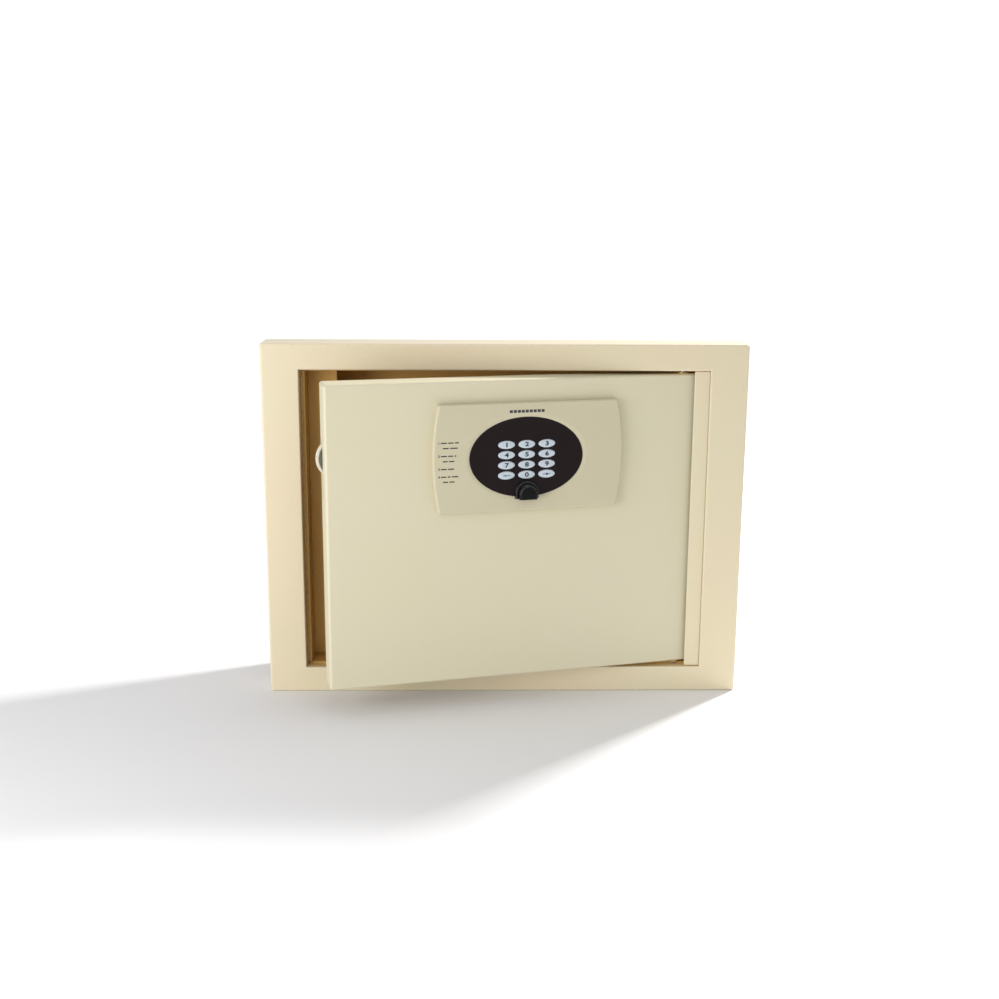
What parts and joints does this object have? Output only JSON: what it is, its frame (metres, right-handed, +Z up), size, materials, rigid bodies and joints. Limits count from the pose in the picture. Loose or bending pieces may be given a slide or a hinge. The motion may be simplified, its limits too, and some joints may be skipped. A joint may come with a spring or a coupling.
{
  "type": "wall safe",
  "caption": "Shallow recessed wall safe with a folded steel frame, a hollow pin-hinged door standing ajar, an elliptical keypad with a finger pull, and a motor-driven swing bolt.",
  "frame": {"origin": "centre of the four anchor holes on the back panel's outer face, which goes against the wall", "axes": "+X to the right seen from the front, +Z up, +Y into the wall; the front frame faces -Y"},
  "size_m": [0.45, 0.1737, 0.337],
  "materials": {
    "cream_paint": "fine-textured satin powder coat",
    "cream_cover": "smooth satin paint",
    "black_face": "satin black",
    "black_pull": "semi-gloss black",
    "key_plastic": "satin pale blue",
    "black_plastic": "moulded black",
    "rubber": "matt",
    "steel": "zinc plated",
    "bolt_steel": "machined, bright rim",
    "motor_can": "drawn can",
    "brass": "turned",
    "laminate": "green solder mask",
    "nylon": "natural nylon",
    "ribbon": "grey ribbon cable",
    "cell_jacket": "plain dark jacket"
  },
  "bodies": {
    "safe_body": {"front_frame": "cream_paint", "rear_flange": "cream_paint", "body_shell": "cream_paint", "back_panel": "cream_paint", "hinge_side_strip": "cream_paint", "left_spacer": "cream_paint", "strike_jamb": "cream_paint", "stop_bumpers": "rubber", "jamb_rivets": "steel", "strike_box": "cream_paint", "hinge_blocks": "steel", "hinge_pins": "steel"},
    "door": {"door_skin": "cream_paint", "door_back_cover": "cream_paint", "cover_standoffs": "steel", "cover_screws": "steel", "pivot_blocks": "steel", "hinge_bushes": "brass", "keypad_panel": "cream_cover", "panel_screws": "steel", "keypad_bezel": "black_face", "keypad_board": "laminate", "key_mat": "rubber", "finger_pull": "black_pull", "lock_base_plate": "steel", "base_fixings": "steel", "bolt_shaft": "steel", "bolt_washer": "brass", "bolt_clip": "steel", "lock_motor": "motor_can", "motor_screws": "steel", "bolt_switch": "black_plastic", "control_board": "laminate", "board_standoffs": "nylon", "keypad_ribbon": "ribbon", "battery_holder": "black_plastic", "batteries": "cell_jacket", "battery_contacts": "steel", "battery_cover_rails": "black_plastic"},
    "bolt": {"swing_bolt": "bolt_steel", "bolt_gear": "brass", "bolt_rivets": "steel"},
    "pinion": {"motor_pinion": "brass"},
    "battery_lid": {"battery_cover": "black_plastic"},
    "key_1": {"key_1": "key_plastic"},
    "key_2": {"key_2": "key_plastic"},
    "key_3": {"key_3": "key_plastic"},
    "key_4": {"key_4": "key_plastic"},
    "key_5": {"key_5": "key_plastic"},
    "key_6": {"key_6": "key_plastic"},
    "key_7": {"key_7": "key_plastic"},
    "key_8": {"key_8": "key_plastic"},
    "key_9": {"key_9": "key_plastic"},
    "key_clear": {"key_clear": "key_plastic"},
    "key_0": {"key_0": "key_plastic"},
    "key_enter": {"key_enter": "key_plastic"}
  },
  "joints": [
    {"name": "door_hinge", "type": "hinge", "parent": "safe_body", "child": "door", "pos_m": [0.166, -0.086, 0], "axis": [0, 0, 1], "range_deg": [-13.74, 76.26]},
    {"name": "bolt_swing", "type": "hinge", "parent": "door", "child": "bolt", "pos_m": [-0.15171, -0.14824, 0.0563], "axis": [0.2375, -0.9714, 0], "range_deg": [0, 90]},
    {"name": "motor_spin", "type": "hinge", "parent": "door", "child": "pinion", "pos_m": [-0.13748, -0.14579, 0.0563], "axis": [0.2375, -0.9714, 0], "range_deg": [-180, 0]},
    {"name": "battery_cover_slide", "type": "slide", "parent": "door", "child": "battery_lid", "axis": [0, 0, -1], "range_m": [0, 0.02]},
    {"name": "key_1_press", "type": "slide", "parent": "door", "child": "key_1", "axis": [-0.2375, 0.9714, 0], "range_m": [0, 0.0009], "stiffness_N_per_m": 500},
    {"name": "key_2_press", "type": "slide", "parent": "door", "child": "key_2", "axis": [-0.2375, 0.9714, 0], "range_m": [0, 0.0009], "stiffness_N_per_m": 500},
    {"name": "key_3_press", "type": "slide", "parent": "door", "child": "key_3", "axis": [-0.2375, 0.9714, 0], "range_m": [0, 0.0009], "stiffness_N_per_m": 500},
    {"name": "key_4_press", "type": "slide", "parent": "door", "child": "key_4", "axis": [-0.2375, 0.9714, 0], "range_m": [0, 0.0009], "stiffness_N_per_m": 500},
    {"name": "key_5_press", "type": "slide", "parent": "door", "child": "key_5", "axis": [-0.2375, 0.9714, 0], "range_m": [0, 0.0009], "stiffness_N_per_m": 500},
    {"name": "key_6_press", "type": "slide", "parent": "door", "child": "key_6", "axis": [-0.2375, 0.9714, 0], "range_m": [0, 0.0009], "stiffness_N_per_m": 500},
    {"name": "key_7_press", "type": "slide", "parent": "door", "child": "key_7", "axis": [-0.2375, 0.9714, 0], "range_m": [0, 0.0009], "stiffness_N_per_m": 500},
    {"name": "key_8_press", "type": "slide", "parent": "door", "child": "key_8", "axis": [-0.2375, 0.9714, 0], "range_m": [0, 0.0009], "stiffness_N_per_m": 500},
    {"name": "key_9_press", "type": "slide", "parent": "door", "child": "key_9", "axis": [-0.2375, 0.9714, 0], "range_m": [0, 0.0009], "stiffness_N_per_m": 500},
    {"name": "key_clear_press", "type": "slide", "parent": "door", "child": "key_clear", "axis": [-0.2375, 0.9714, 0], "range_m": [0, 0.0009], "stiffness_N_per_m": 500},
    {"name": "key_0_press", "type": "slide", "parent": "door", "child": "key_0", "axis": [-0.2375, 0.9714, 0], "range_m": [0, 0.0009], "stiffness_N_per_m": 500},
    {"name": "key_enter_press", "type": "slide", "parent": "door", "child": "key_enter", "axis": [-0.2375, 0.9714, 0], "range_m": [0, 0.0009], "stiffness_N_per_m": 500}
  ],
  "couplings": [
    {"joint": "motor_spin", "follows": "bolt_swing", "ratio": -2}
  ]
}
